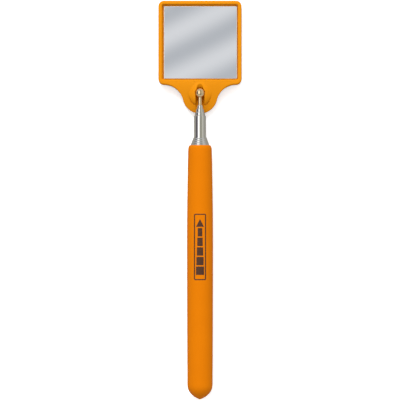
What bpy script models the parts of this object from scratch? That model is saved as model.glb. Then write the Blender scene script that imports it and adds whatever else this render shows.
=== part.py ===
"""A telescoping inspection mirror with a square head on a ball joint, lying on its back.

The tool is modelled upright in a frame of its own: the shaft runs up +Z from the grip's nose, and
the mirror faces -Y. One empty then lays it down, so in the world the shaft points along +Y, the
mirror faces +Z, and the grip rests on z = 0 with the middle of the tool over the origin.

Four chromed tubes slide out of a swaged handle tube. The innermost holds a ball stud, whose ball
snaps into a slotted dome that is moulded in one piece with the mirror's frame.
"""

import math

import bmesh
import bpy
from mathutils import Matrix, Vector

MM = 0.001
SEGMENTS = 32  # sides of everything round, so that nested pieces have matching facets
ARC_STEPS = 5  # straight edges in a quarter of a small round

# Vinyl grip, dipped over the handle tube
GRIP_LENGTH = 164.8 * MM
GRIP_MOUTH_RADIUS = 7.7 * MM
GRIP_BELLY_RADIUS = 8.42 * MM
GRIP_HEEL_RADIUS = 8.15 * MM
GRIP_BELLY_HEIGHT = 103.0 * MM
GRIP_NOSE_LENGTH = 10.1 * MM
GRIP_NOSE_POWER = 1.75  # of the nose's curve: 2 is an ellipse, and less is more pointed
GRIP_MOUTH_ROUND = 3.2 * MM
GRIP_MOUTH_LIP = 0.2 * MM  # flat of the mouth, outside the handle tube
GRIP_NOSE_WALL = 2.2 * MM

# Handle tube with its swaged neck, and the plug in its lower end
HANDLE_RADIUS = 6.0 * MM
HANDLE_WALL = 0.5 * MM
HANDLE_START = 8.1 * MM  # lower end of the tube above the grip's nose
NECK_LENGTH = 4.8 * MM
NECK_WALL = 0.4 * MM
NECK_LIP = 0.5 * MM
NECK_SHOWN = 5.1 * MM  # neck's mouth above the grip's mouth
PLUG_DEPTH = 7.0 * MM

# Sliding tubes 1 to 4, each inside the one before
TUBE_COUNT = 4
TUBE_1_RADIUS = 3.9 * MM
TUBE_WALL = 0.3 * MM
TUBE_GAP = 0.3 * MM  # room for the friction shells between two tubes
TUBE_1_SHOWN = 14.1 * MM  # mouth of tube 1 above the neck
MOUTH_STEP = 2.3 * MM  # each mouth above the one outside it
CRIMP_LENGTH = 1.6 * MM
FOOT_LIP = 0.4 * MM  # thickness of the lip rolled into each tube's lower end
FOOT_STEP = 0.7 * MM  # each lower end above the one outside it
FOOT_LIP_OVERLAP = 0.2 * MM  # how far a lip reaches under the next tube's wall

# Friction parts on the tubes' lower ends
BUSH_LENGTH = 14.0 * MM
BUSH_SLIT = math.radians(18)
SHELL_LENGTH = 10.0 * MM
SHELL_SLIT = math.radians(10)
FRICTION_START = 1.0 * MM  # above the tube's lower end

# Ball stud
BALL_RADIUS = 3.25 * MM
SHANK_RADIUS = 1.35 * MM
SHANK_SHOWN = 7.95 * MM  # mouth of tube 4 to the ball's centre
STUD_BUSH_LENGTH = 10.0 * MM
RIVET_HEIGHT = 0.9 * MM

# Mirror head; heights are above the ball's centre, and depths are behind it
HEAD_WIDTH = 54.0 * MM
HEAD_HEIGHT = 54.5 * MM
HEAD_START = 5.2 * MM
HEAD_CORNER = 3.6 * MM
SIDE_RIM = 2.5 * MM
LOWER_RIM = 3.4 * MM
RECESS_CORNER = 0.8 * MM
FLOOR_THICKNESS = 2.4 * MM
RIM_ABOVE_GLASS = 1.6 * MM
RIM_ROUND = 1.1 * MM
GLASS_THICKNESS = 2.0 * MM
GLASS_MARGIN = 0.8 * MM
GLASS_SHIFT = 0.3 * MM  # how far the glass sits off the recess's middle, to one side and down
GLASS_CHAMFER = 0.3 * MM
PAD_THICKNESS = 0.7 * MM
PAD_MARGIN = 2.5 * MM
TONGUE_RADIUS = 11.3 * MM
TONGUE_DROP = 2.1 * MM  # centre of the tongue's round end, below the ball's
DOME_RADIUS = 8.9 * MM  # around the ball's centre
DOME_RISE = 11.9 * MM  # upper half of the dome, which runs up under the rim
SLOPE_START = 1.0 * MM  # top of the tongue's slope, above the square's lower edge
SLOPE_END = 1.9 * MM  # bottom of the slope, above the tongue's tip

# Clearances
SLIDE_GAP = 0.05 * MM
MOUTH_GAP = 0.06 * MM
SEAT_GAP = 0.1 * MM
STOP_GAP = 0.3 * MM
SOCKET_GAP = 0.2 * MM
SOCKET_BITE = 0.2 * MM  # how much smaller than the ball the socket's opening is, in radius
SHAFT_CLEARANCE = 0.3 * MM
SLOT_CLEARANCE = 0.7 * MM  # each side of tube 4's mouth, which lets the head lean
OVER_TILT = math.radians(58)  # of the groove above the ball, from straight out
CUT_PAST = 5.0 * MM  # how far a cutter runs past what it cuts

# Derived sizes along the shaft, from the grip's nose
NECK_TOP = GRIP_LENGTH + NECK_SHOWN
PLUG_TOP = HANDLE_START + PLUG_DEPTH
BALL_HEIGHT = NECK_TOP + TUBE_1_SHOWN + (TUBE_COUNT - 1) * MOUTH_STEP + SHANK_SHOWN
TOTAL_LENGTH = BALL_HEIGHT + HEAD_START + HEAD_HEIGHT
AXIS_HEIGHT = max(GRIP_BELLY_RADIUS, GRIP_HEEL_RADIUS)


def tube_radius(number):
    """Outer radius of a sliding tube, 1 for the widest."""
    return TUBE_1_RADIUS - (number - 1) * (TUBE_WALL + TUBE_GAP)


def tube_mouth(number):
    """Height of a sliding tube's mouth above the grip's nose."""
    return NECK_TOP + TUBE_1_SHOWN + (number - 1) * MOUTH_STEP


def tube_foot(number):
    """Height of a sliding tube's lower end above the grip's nose."""
    return PLUG_TOP + STOP_GAP + (number - 1) * FOOT_STEP


# Derived depths of the head, behind the shaft's axis
FLOOR_FRONT = tube_radius(2) + SHAFT_CLEARANCE
FLOOR_BACK = FLOOR_FRONT + FLOOR_THICKNESS
GLASS_BACK = FLOOR_FRONT - PAD_THICKNESS - 2 * SEAT_GAP
GLASS_FRONT = GLASS_BACK - GLASS_THICKNESS
RIM_FRONT = GLASS_FRONT - RIM_ABOVE_GLASS
SLOT_FLOOR = tube_radius(3) + SHAFT_CLEARANCE
SLOT_WIDTH = 2 * (tube_radius(4) + SLOT_CLEARANCE)
SOCKET_RADIUS = BALL_RADIUS + SOCKET_GAP
OPENING_RADIUS = BALL_RADIUS - SOCKET_BITE
OPENING_DEPTH = math.sqrt(SOCKET_RADIUS**2 - OPENING_RADIUS**2)
TONGUE_TIP = TONGUE_DROP + TONGUE_RADIUS

ORANGE_VINYL = ("orange_vinyl", (0.86, 0.24, 0.005), 0.45, 0.0)
ORANGE_PLASTIC = ("orange_plastic", (0.88, 0.30, 0.008), 0.3, 0.0)
CHROME = ("chrome", (0.80, 0.80, 0.79), 0.12, 1.0)
BRASS = ("brass", (0.75, 0.56, 0.24), 0.3, 1.0)
NYLON = ("nylon", (0.82, 0.81, 0.76), 0.5, 0.0)
BLACK_PLASTIC = ("black_plastic", (0.03, 0.03, 0.03), 0.5, 0.0)
FOAM = ("foam", (0.10, 0.10, 0.10), 0.9, 0.0)
MIRROR = ("mirror", (0.88, 0.89, 0.90), 0.02, 1.0)


def clear_scene():
    for obj in list(bpy.data.objects):
        bpy.data.objects.remove(obj, do_unlink=True)


def new_collection(name):
    collection = bpy.data.collections.new(name)
    bpy.context.scene.collection.children.link(collection)
    return collection


def material(finish):
    """The Principled material of a (name, colour, roughness, metallic) finish, made once."""
    name, colour, roughness, metallic = finish
    found = bpy.data.materials.get(name)
    if found:
        return found
    made = bpy.data.materials.new(name)
    made.use_nodes = True
    shader = made.node_tree.nodes["Principled BSDF"]
    shader.inputs["Base Color"].default_value = (*colour, 1.0)
    shader.inputs["Roughness"].default_value = roughness
    shader.inputs["Metallic"].default_value = metallic
    return made


def new_empty(name, parent=None, location=(0, 0, 0)):
    empty = bpy.data.objects.new(name, None)
    empty.empty_display_size = 10 * MM
    empty.location = location
    empty.parent = parent
    PARTS.objects.link(empty)
    return empty


def new_part(name, mesh, finish, parent, location=(0, 0, 0)):
    part = bpy.data.objects.new(name, mesh)
    part.parent = parent
    part.location = location
    mesh.materials.append(material(finish))
    PARTS.objects.link(part)
    return part


def new_cutter(name, mesh, parent):
    cutter = bpy.data.objects.new(name, mesh)
    cutter.parent = parent
    cutter.hide_render = True
    cutter.display_type = "WIRE"
    CUTTERS.objects.link(cutter)
    return cutter


def mesh_from(name, bm, smooth_angle=None):
    mesh = bpy.data.meshes.new(name)
    bm.to_mesh(mesh)
    bm.free()
    if smooth_angle is not None:
        mesh.shade_smooth()
        mesh.set_sharp_from_angle(angle=math.radians(smooth_angle))
    return mesh


def line_mesh(name, points, closed):
    """A row of edges through (radius, height) points, in the plane of X and Z."""
    mesh = bpy.data.meshes.new(name)
    edges = [(i, i + 1) for i in range(len(points) - 1)]
    if closed:
        edges.append((len(points) - 1, 0))
    mesh.from_pydata([(radius, 0, height) for radius, height in points], edges, [])
    return mesh


def quarter_round(radius, height, across, along, start, end, steps=ARC_STEPS):
    """Points of an ellipse around (radius, height), between two angles in degrees from +radius."""
    angles = [math.radians(start + (end - start) * i / steps) for i in range(steps + 1)]
    return [(radius + across * math.cos(a), height + along * math.sin(a)) for a in angles]


def turned(name, profile, finish, parent, location=(0, 0, 0), closed=True):
    """A turned piece: the profile runs down its outer side, then up its inner side if it is closed."""
    part = new_part(name, line_mesh(name, profile, closed), finish, parent, location)
    screw = part.modifiers.new("turn", "SCREW")
    screw.axis = "Z"
    screw.angle = math.tau
    screw.steps = screw.render_steps = SEGMENTS
    screw.use_merge_vertices = True
    screw.merge_threshold = 0.001 * MM
    return part


def split_sleeve(name, radius, thickness, length, slit, turn, finish, parent, location):
    """A sleeve of sheet around the axis, open along a slit; turn is where its first edge stands."""
    part = new_part(name, line_mesh(name, [(radius, length), (radius, 0)], False), finish, parent, location)
    part.rotation_euler.z = turn
    screw = part.modifiers.new("turn", "SCREW")
    screw.axis = "Z"
    screw.angle = slit
    screw.steps = screw.render_steps = max(3, round(SEGMENTS * slit / math.tau))
    screw.use_merge_vertices = False
    sheet = part.modifiers.new("sheet", "SOLIDIFY")
    sheet.thickness = thickness
    sheet.offset = 1.0
    sheet.use_even_offset = True
    return part


def prism(outline, front, back, name):
    """A solid with an outline of (x, z) points, from one depth to another."""
    bm = bmesh.new()
    face = bm.faces.new([bm.verts.new((x, front, z)) for x, z in outline])
    made = bmesh.ops.extrude_face_region(bm, geom=[face])
    moved = [v for v in made["geom"] if isinstance(v, bmesh.types.BMVert)]
    bmesh.ops.translate(bm, vec=(0, back - front, 0), verts=moved)
    bmesh.ops.recalc_face_normals(bm, faces=bm.faces)
    return bm


def box(low, high):
    """A box between two corners."""
    bm = bmesh.new()
    bmesh.ops.create_cube(bm, size=1.0)
    low, high = Vector(low), Vector(high)
    bmesh.ops.scale(bm, vec=high - low, verts=bm.verts)
    bmesh.ops.translate(bm, vec=(low + high) / 2, verts=bm.verts)
    return bm


def edges_along(bm, axis):
    """The straight edges that run along one axis, 0 to 2."""
    found = []
    for edge in bm.edges:
        run = edge.verts[1].co - edge.verts[0].co
        if abs(run[axis]) > 0.99 * run.length:
            found.append(edge)
    return found


def boolean(part, operation, other):
    modifier = part.modifiers.new(other.name, "BOOLEAN")
    modifier.operation = operation
    modifier.object = other
    modifier.solver = "EXACT"


def grip_outline():
    """The grip's outer side from mouth to nose: swelling to a belly, and ending in a round nose."""
    top = GRIP_LENGTH - GRIP_MOUTH_ROUND
    lip_radius = HANDLE_RADIUS + SEAT_GAP + GRIP_MOUTH_LIP
    points = quarter_round(lip_radius, top, GRIP_MOUTH_RADIUS - lip_radius, GRIP_MOUTH_ROUND, 90, 0)
    steps = 6
    for i in range(1, steps + 1):
        share = i / steps
        swell = (GRIP_BELLY_RADIUS - GRIP_MOUTH_RADIUS) * math.sin(share * math.pi / 2)
        points.append((GRIP_MOUTH_RADIUS + swell, top + (GRIP_BELLY_HEIGHT - top) * share))
    for i in range(1, steps):
        share = i / steps
        swell = (GRIP_BELLY_RADIUS - GRIP_HEEL_RADIUS) * math.cos(share * math.pi / 2)
        fall = (GRIP_BELLY_HEIGHT - GRIP_NOSE_LENGTH) * share
        points.append((GRIP_HEEL_RADIUS + swell, GRIP_BELLY_HEIGHT - fall))
    steps = 9
    for i in range(steps):
        angle = math.pi / 2 * i / steps
        across = GRIP_HEEL_RADIUS * math.cos(angle) ** (2 / GRIP_NOSE_POWER)
        along = GRIP_NOSE_LENGTH * math.sin(angle) ** (2 / GRIP_NOSE_POWER)
        points.append((across, GRIP_NOSE_LENGTH - along))
    return points + [(0, 0)]


def make_grip(tool):
    bore = HANDLE_RADIUS + SEAT_GAP
    floor = HANDLE_START - SEAT_GAP
    hollow = quarter_round(0, floor, bore, floor - GRIP_NOSE_WALL, -90, 0, 6)
    profile = grip_outline() + [(0, GRIP_NOSE_WALL)] + hollow[1:] + [(bore, GRIP_LENGTH)]
    turned("grip", profile, ORANGE_VINYL, tool)


def make_handle_tube(tool):
    bore = HANDLE_RADIUS - HANDLE_WALL
    mouth = TUBE_1_RADIUS + MOUTH_GAP
    shoulder = NECK_TOP - NECK_LENGTH
    lip = NECK_TOP - NECK_LIP
    profile = [
        (mouth, NECK_TOP),
        (mouth + NECK_WALL / 2, NECK_TOP),
        (mouth + NECK_WALL, lip),
        (HANDLE_RADIUS, shoulder),
        (HANDLE_RADIUS, HANDLE_START),
        (bore, HANDLE_START),
        (bore, shoulder),
        (mouth, lip),
    ]
    turned("handle_tube", profile, CHROME, tool)


def make_end_plug(tool):
    """A plug with a domed head, which closes the handle tube under the vinyl."""
    stem = HANDLE_RADIUS - HANDLE_WALL - SLIDE_GAP
    seat = HANDLE_START - SEAT_GAP
    head = HANDLE_RADIUS - SLIDE_GAP
    dome = quarter_round(0, seat - SEAT_GAP, head, seat - GRIP_NOSE_WALL - 3 * SEAT_GAP, 0, -90, 6)
    profile = [(0, PLUG_TOP), (stem, PLUG_TOP), (stem, seat), (head, seat), *dome[:-1]]
    profile.append((0, dome[-1][1]))
    turned("end_plug", profile, BLACK_PLASTIC, tool, closed=False)


def tube_profile(number, top, mouth):
    """A sliding tube from its lower end at 0: crimped in to its mouth, with a lip rolled in below."""
    radius = tube_radius(number)
    bore = radius - TUBE_WALL
    crimp = top - CRIMP_LENGTH
    edge = mouth + TUBE_WALL * 0.6
    outside = quarter_round(edge, crimp, radius - edge, CRIMP_LENGTH, 90, 0)
    inside = quarter_round(mouth, crimp, bore - mouth, CRIMP_LENGTH - TUBE_WALL, 0, 90)
    foot = [(radius, 0), (bore, 0)]
    if number < TUBE_COUNT:
        lip = tube_radius(number + 1) - FOOT_LIP_OVERLAP
        foot = [(radius, 0), (lip, 0), (lip, FOOT_LIP), (bore, FOOT_LIP)]
    return [(mouth, top), *outside, *foot, *inside]


def make_sliding_tubes(tool):
    for number in range(1, TUBE_COUNT + 1):
        foot = tube_foot(number)
        inner = SHANK_RADIUS if number == TUBE_COUNT else tube_radius(number + 1)
        profile = tube_profile(number, tube_mouth(number) - foot, inner + MOUTH_GAP)
        turned(f"tube_{number}", profile, CHROME, tool, (0, 0, foot))


def make_slide_bush(tool):
    """The split nylon bush that centres tube 1 in the wider handle tube."""
    radius = TUBE_1_RADIUS + SLIDE_GAP
    thickness = HANDLE_RADIUS - HANDLE_WALL - SLIDE_GAP - radius
    place = (0, 0, tube_foot(1) + FRICTION_START)
    angle = math.tau - BUSH_SLIT
    split_sleeve("slide_bush", radius, thickness, BUSH_LENGTH, angle, 0, NYLON, tool, place)


def make_friction_shells(tool):
    """Two sprung half sleeves of brass on the lower end of each of tubes 2 to 4."""
    for number in range(2, TUBE_COUNT + 1):
        radius = tube_radius(number) + SLIDE_GAP
        thickness = TUBE_GAP - 2 * SLIDE_GAP
        place = (0, 0, tube_foot(number) + FRICTION_START)
        for side, turn in (("a", 0), ("b", math.pi)):
            name = f"friction_shell_{number}{side}"
            angle = math.pi - SHELL_SLIT
            split_sleeve(name, radius, thickness, SHELL_LENGTH, angle, turn, BRASS, tool, place)


def stud_bush_top():
    """Height of the stud bush's upper end, just under tube 4's crimp, from the ball's centre."""
    return -SHANK_SHOWN - CRIMP_LENGTH - SEAT_GAP


def make_stud_bush(ball):
    """The brass bush in the mouth of tube 4, in which the stud's shank turns."""
    outer = tube_radius(TUBE_COUNT) - TUBE_WALL - SLIDE_GAP
    inner = SHANK_RADIUS + SLIDE_GAP
    profile = [(inner, 0), (outer, 0), (outer, -STUD_BUSH_LENGTH), (inner, -STUD_BUSH_LENGTH)]
    turned("stud_bush", profile, BRASS, ball, (0, 0, stud_bush_top()))


def make_ball_stud(ball):
    """The steel ball, and the shank whose cupped end carries it."""
    bm = bmesh.new()
    bmesh.ops.create_uvsphere(bm, u_segments=SEGMENTS, v_segments=SEGMENTS // 2, radius=BALL_RADIUS)
    new_part("pivot_ball", mesh_from("pivot_ball", bm, 60), CHROME, ball)

    cup = BALL_RADIUS + SEAT_GAP
    reach = math.asin(SHANK_RADIUS / cup)
    angles = [reach * i / 3 for i in range(4)]
    seat = [(cup * math.sin(a), -cup * math.cos(a)) for a in angles]
    under = stud_bush_top() - STUD_BUSH_LENGTH - SEAT_GAP
    rivet = tube_radius(TUBE_COUNT) - TUBE_WALL - SEAT_GAP
    profile = [*seat, (SHANK_RADIUS, under), (rivet, under), (rivet, under - RIVET_HEIGHT)]
    profile.append((0, under - RIVET_HEIGHT))
    turned("stud_shank", profile, CHROME, ball, closed=False)


def head_outline():
    """(x, z) points around the head: a square with round corners, whose lower edge sweeps through
    two coves into a round tongue. Each cove touches both its corner's end and the tongue's circle."""
    cove_x = HEAD_WIDTH / 2 - HEAD_CORNER
    rise = HEAD_START + TONGUE_DROP
    cove = (cove_x**2 - TONGUE_RADIUS**2 + rise**2) / (2 * (TONGUE_RADIUS + rise))
    meet = math.degrees(math.atan2(rise - cove, cove_x))
    top = HEAD_START + HEAD_HEIGHT - HEAD_CORNER
    low = HEAD_START + HEAD_CORNER
    right = [
        *quarter_round(0, -TONGUE_DROP, TONGUE_RADIUS, TONGUE_RADIUS, -90, meet, 10),
        *quarter_round(cove_x, HEAD_START - cove, cove, cove, 180 + meet, 90, 8)[1:],
        *quarter_round(cove_x, low, HEAD_CORNER, HEAD_CORNER, -90, 0)[1:],
        *quarter_round(cove_x, top, HEAD_CORNER, HEAD_CORNER, 0, 90),
    ]
    return right + [(-x, z) for x, z in reversed(right[1:])]


def make_frame(ball):
    """The moulded frame: its rim, the floor behind the glass, the sloping tongue, and the dome."""
    slab = prism(head_outline(), RIM_FRONT, FLOOR_BACK, "frame")
    front = [e for e in slab.edges if all(abs(v.co.y - RIM_FRONT) < 0.01 * MM for v in e.verts)]
    bmesh.ops.bevel(slab, geom=front, offset=RIM_ROUND, segments=3, profile=0.5, affect="EDGES")
    frame = new_part("mirror_frame", mesh_from("mirror_frame", slab, 30), ORANGE_PLASTIC, ball)

    half = HEAD_WIDTH / 2 + CUT_PAST
    before = RIM_FRONT - DOME_RISE
    top = HEAD_START + SLOPE_START
    end = SLOPE_END - TONGUE_TIP
    under = -TONGUE_TIP - CUT_PAST
    slope = bmesh.new()
    side = [(before, top), (RIM_FRONT, top), (FLOOR_FRONT, end), (FLOOR_FRONT, under), (before, under)]
    face = slope.faces.new([slope.verts.new((-half, y, z)) for y, z in side])
    made = bmesh.ops.extrude_face_region(slope, geom=[face])
    moved = [v for v in made["geom"] if isinstance(v, bmesh.types.BMVert)]
    bmesh.ops.translate(slope, vec=(2 * half, 0, 0), verts=moved)
    bmesh.ops.recalc_face_normals(slope, faces=slope.faces)
    boolean(frame, "DIFFERENCE", new_cutter("slope_cut", mesh_from("slope_cut", slope), ball))

    boolean(frame, "UNION", new_cutter("socket_dome", dome_mesh(), ball))

    low = HEAD_START + LOWER_RIM
    high = HEAD_START + HEAD_HEIGHT - SIDE_RIM
    wide = HEAD_WIDTH / 2 - SIDE_RIM
    recess = box((-wide, before, low), (wide, FLOOR_FRONT, high))
    bmesh.ops.bevel(recess, geom=edges_along(recess, 1), offset=RECESS_CORNER, segments=3,
                    profile=0.5, affect="EDGES")
    boolean(frame, "DIFFERENCE", new_cutter("recess_cut", mesh_from("recess_cut", recess), ball))

    socket = bmesh.new()
    bmesh.ops.create_uvsphere(socket, u_segments=SEGMENTS, v_segments=SEGMENTS // 2, radius=SOCKET_RADIUS)
    boolean(frame, "DIFFERENCE", new_cutter("socket_cut", mesh_from("socket_cut", socket), ball))

    slot = box((-SLOT_WIDTH / 2, before, under), (SLOT_WIDTH / 2, SLOT_FLOOR, 0))
    boolean(frame, "DIFFERENCE", new_cutter("slot_cut", mesh_from("slot_cut", slot), ball))

    groove = bmesh.new()
    radius = SHANK_RADIUS + SLOT_CLEARANCE
    length = DOME_RISE
    bmesh.ops.create_cone(groove, cap_ends=True, segments=SEGMENTS // 2, radius1=radius,
                          radius2=radius, depth=length)
    bmesh.ops.translate(groove, vec=(0, 0, length / 2), verts=groove.verts)
    lean = Matrix.Rotation(math.pi / 2 - OVER_TILT, 3, "X")
    bmesh.ops.rotate(groove, cent=(0, 0, 0), matrix=lean, verts=groove.verts)
    boolean(frame, "DIFFERENCE", new_cutter("groove_cut", mesh_from("groove_cut", groove), ball))


def dome_mesh():
    """The socket's dome: half an ellipsoid standing on the flange, stretched up under the rim. Its
    height makes the socket's opening OPENING_RADIUS wide."""
    base = FLOOR_FRONT - SHAFT_CLEARANCE
    side = math.sqrt(1 - (OPENING_RADIUS / DOME_RADIUS) ** 2)
    height = (base + OPENING_DEPTH) / side
    bm = bmesh.new()
    bmesh.ops.create_uvsphere(bm, u_segments=SEGMENTS, v_segments=SEGMENTS // 2, radius=1.0)
    bmesh.ops.rotate(bm, cent=(0, 0, 0), matrix=Matrix.Rotation(math.pi / 2, 3, "X"), verts=bm.verts)
    for vert in bm.verts:
        reach = DOME_RISE if vert.co.z > 0 else DOME_RADIUS
        depth = height if vert.co.y < 0 else FLOOR_THICKNESS
        vert.co = (vert.co.x * DOME_RADIUS, vert.co.y * depth + base, vert.co.z * reach)
    return mesh_from("socket_dome", bm)


def make_glass(ball):
    """The square of mirror glass, with ground edges, and the foam pad that holds it to the floor."""
    wide = HEAD_WIDTH / 2 - SIDE_RIM
    low = HEAD_START + LOWER_RIM
    high = HEAD_START + HEAD_HEIGHT - SIDE_RIM
    inset = GLASS_MARGIN
    glass = box((-wide + inset, GLASS_FRONT, low + inset), (wide - inset, GLASS_BACK, high - inset))
    bmesh.ops.translate(glass, vec=(GLASS_SHIFT, 0, -GLASS_SHIFT), verts=glass.verts)
    front = [e for e in glass.edges if all(abs(v.co.y - GLASS_FRONT) < 0.01 * MM for v in e.verts)]
    bmesh.ops.bevel(glass, geom=front, offset=GLASS_CHAMFER, segments=1, affect="EDGES")
    new_part("mirror_glass", mesh_from("mirror_glass", glass), MIRROR, ball)

    inset += PAD_MARGIN
    front, back = FLOOR_FRONT - SEAT_GAP - PAD_THICKNESS, FLOOR_FRONT - SEAT_GAP
    pad = box((-wide + inset, front, low + inset), (wide - inset, back, high - inset))
    new_part("adhesive_pad", mesh_from("adhesive_pad", pad), FOAM, ball)


clear_scene()
PARTS = new_collection("inspection_mirror")
CUTTERS = new_collection("cutters")

tool_axis = new_empty("tool_axis", location=(0, -TOTAL_LENGTH / 2, AXIS_HEIGHT))
tool_axis.rotation_euler.x = -math.pi / 2
ball_centre = new_empty("ball_centre", tool_axis, (0, 0, BALL_HEIGHT))

make_grip(tool_axis)
make_handle_tube(tool_axis)
make_end_plug(tool_axis)
make_sliding_tubes(tool_axis)
make_slide_bush(tool_axis)
make_friction_shells(tool_axis)
make_stud_bush(ball_centre)
make_ball_stud(ball_centre)
make_frame(ball_centre)
make_glass(ball_centre)
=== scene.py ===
"""The looks of the telescoping inspection mirror: finely turned chromed tubes and vinyl grip, the
moulded orange head with its mirror glass, and a plain white studio seen from straight above."""

import math

import bmesh
import bpy
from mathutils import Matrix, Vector


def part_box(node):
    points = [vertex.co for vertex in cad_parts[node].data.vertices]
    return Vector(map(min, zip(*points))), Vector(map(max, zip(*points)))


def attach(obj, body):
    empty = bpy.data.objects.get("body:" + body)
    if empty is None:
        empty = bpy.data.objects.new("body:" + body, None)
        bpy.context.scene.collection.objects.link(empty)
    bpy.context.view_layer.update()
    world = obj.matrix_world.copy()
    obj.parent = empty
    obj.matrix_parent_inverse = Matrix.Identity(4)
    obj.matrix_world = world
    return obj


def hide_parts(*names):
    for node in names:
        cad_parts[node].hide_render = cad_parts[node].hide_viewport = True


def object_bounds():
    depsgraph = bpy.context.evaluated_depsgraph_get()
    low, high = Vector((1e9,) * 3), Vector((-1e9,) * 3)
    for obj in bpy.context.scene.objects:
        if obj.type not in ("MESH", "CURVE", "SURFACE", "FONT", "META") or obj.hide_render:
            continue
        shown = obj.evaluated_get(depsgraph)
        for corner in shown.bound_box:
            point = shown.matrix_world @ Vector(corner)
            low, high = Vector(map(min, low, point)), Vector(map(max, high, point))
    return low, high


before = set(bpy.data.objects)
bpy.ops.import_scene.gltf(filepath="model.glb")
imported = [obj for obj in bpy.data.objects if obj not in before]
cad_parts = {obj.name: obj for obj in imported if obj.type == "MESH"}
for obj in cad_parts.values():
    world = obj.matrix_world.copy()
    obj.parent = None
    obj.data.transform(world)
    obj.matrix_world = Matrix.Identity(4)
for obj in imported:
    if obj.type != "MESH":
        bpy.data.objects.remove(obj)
cad_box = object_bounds()

MM = 0.001
TOUCH = 0.01 * MM  # how near counts as the same place
SEGMENTS = 96  # sides of everything turned
ARC_STEPS = 8  # steps in a quarter of a small round

# The shaft's axis runs along +Y, at the height of the grip's middle
GRIP_LOW, GRIP_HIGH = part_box("grip")
NOSE = GRIP_LOW.y
AXIS_HEIGHT = (GRIP_LOW.z + GRIP_HIGH.z) / 2

# Vinyl grip
GRIP_LENGTH = GRIP_HIGH.y - GRIP_LOW.y
GRIP_BELLY_RADIUS = (GRIP_HIGH.x - GRIP_LOW.x) / 2
GRIP_MOUTH_RADIUS = 7.7 * MM
GRIP_HEEL_RADIUS = 8.15 * MM
GRIP_BELLY_HEIGHT = 103.0 * MM
GRIP_NOSE_LENGTH = 10.1 * MM
GRIP_NOSE_FULLNESS = 2.4  # of the shoulder above the drip
GRIP_NOSE_POINT = 0.8  # the drip left at the nose by dipping: 0.5 is round, 1 a sharp cone
GRIP_MOUTH_ROUND = 3.2 * MM
GRIP_MOUTH_LIP = 0.3 * MM
GRIP_NOSE_WALL = 2.2 * MM
GRIP_STEPS = 16  # along its swell, its taper and half of its nose
VINYL_GAP = 0.1 * MM

# Printed mark on the grip
PRINT_MIDDLE = 99.0 * MM  # above the nose
PRINT_WIDTH = 7.8 * MM
PRINT_LENGTH = 42.8 * MM
PRINT_LINE = 0.7 * MM
PRINT_CORNER = 0.9 * MM
PRINT_STEP = 0.4 * MM  # width of the strips that let the print bend round the grip
PRINT_ROWS = 3.2 * MM  # length of the pieces that the strips are cut into
PRINT_LAYER = 0.03 * MM
PRINT_ABOVE = 2.0 * MM  # from where it is pressed down on the grip
SIGN_BLOCKS = 5  # the sign's telescoped shaft
SIGN_BLOCK_LENGTH = 5.4 * MM
SIGN_SPACE = 0.8 * MM
SIGN_WIDTH = 5.2 * MM
SIGN_NARROWING = 0.55 * MM
SIGN_ARROW = 5.0 * MM

# Tubes
TUBE_COUNT = 4
HANDLE_RADIUS = (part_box("handle_tube")[1].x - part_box("handle_tube")[0].x) / 2
HANDLE_WALL = 0.5 * MM
NECK_LENGTH = 4.8 * MM
NECK_LIP = 0.5 * MM
NECK_EDGE = 0.2 * MM  # the swaged tube's wall, drawn thin at its mouth
NECK_RINGS = 4  # left by the swaging tool
NECK_RING_DEPTH = 0.07 * MM
TUBE_WALL = 0.3 * MM
CRIMP_LENGTH = 1.6 * MM
CRIMP_EDGE = 0.6 * TUBE_WALL
MOUTH_CHAMFER = 0.05 * MM
FOOT_LIP = 0.4 * MM
FOOT_LIP_OVERLAP = 0.2 * MM
MOUTH_GAP = 0.06 * MM
SEAT_GAP = 0.1 * MM

# Ball stud
BALL_LOW, BALL_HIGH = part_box("pivot_ball")
BALL = (BALL_LOW + BALL_HIGH) / 2
BALL_RADIUS = (BALL_HIGH.x - BALL_LOW.x) / 2
BALL_FLAT = 0.45 * MM  # radius of the flat left where the ball was parted off
SHANK_RADIUS = 1.35 * MM
RIVET_HEIGHT = 0.9 * MM
RIVET_ROUND = 0.4 * MM

# Mirror head, from the ball's centre: heights along +Y, and levels along +Z
FRAME_LOW, FRAME_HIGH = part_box("mirror_frame")
HEAD_WIDTH = FRAME_HIGH.x - FRAME_LOW.x
HEAD_TOP = FRAME_HIGH.y - BALL.y
HEAD_START = 5.2 * MM
HEAD_CORNER = 3.6 * MM
SIDE_RIM = 2.5 * MM
LOWER_RIM = 3.4 * MM
RECESS_CORNER = 0.8 * MM
RECESS_ROUND = 0.6 * MM
LEDGE_DEPTH = 0.8 * MM  # of the recess's floor beside the glass, below the glass's face
RIM_LEVEL = 0.9 * MM
FLOOR_LEVEL = -3.6 * MM
BACK_LEVEL = FRAME_LOW.z - BALL.z
RIM_ROUND = 1.1 * MM
BACK_ROUND = 0.5 * MM
TONGUE_RADIUS = 11.3 * MM
TONGUE_DROP = 2.1 * MM
DOME_RADIUS = 8.9 * MM
DOME_RISE = 11.9 * MM
DOME_BASE = -3.3 * MM
DOME_UNDERSIDE = BACK_LEVEL / 4  # from its base, still inside the plate
SLOPE_START = 1.0 * MM
SLOPE_END = 0.8 * MM
SLOPE_STEPS = 24
SLOPE_POWER = 1.5  # how much later than evenly the slope falls
CREASE_ALONG = 8.9 * MM
CREASE_ACROSS = 7.8 * MM
CREASE_DEPTH = 0.55 * MM
SOCKET_GAP = 0.2 * MM
OPENING_RADIUS = BALL_RADIUS - 0.2 * MM
SLOT_WIDTH = 5.6 * MM
SLOT_LEVEL = -3.0 * MM
SLOT_TOP = BALL_RADIUS / 8  # height at which the slot ends, inside the ball's seat
SLOT_ROUND = 1.2 * MM
GROOVE_RADIUS = SHANK_RADIUS + 0.7 * MM
GROOVE_LEAN = math.radians(58)
EJECTOR_RADIUS = 2.0 * MM
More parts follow.
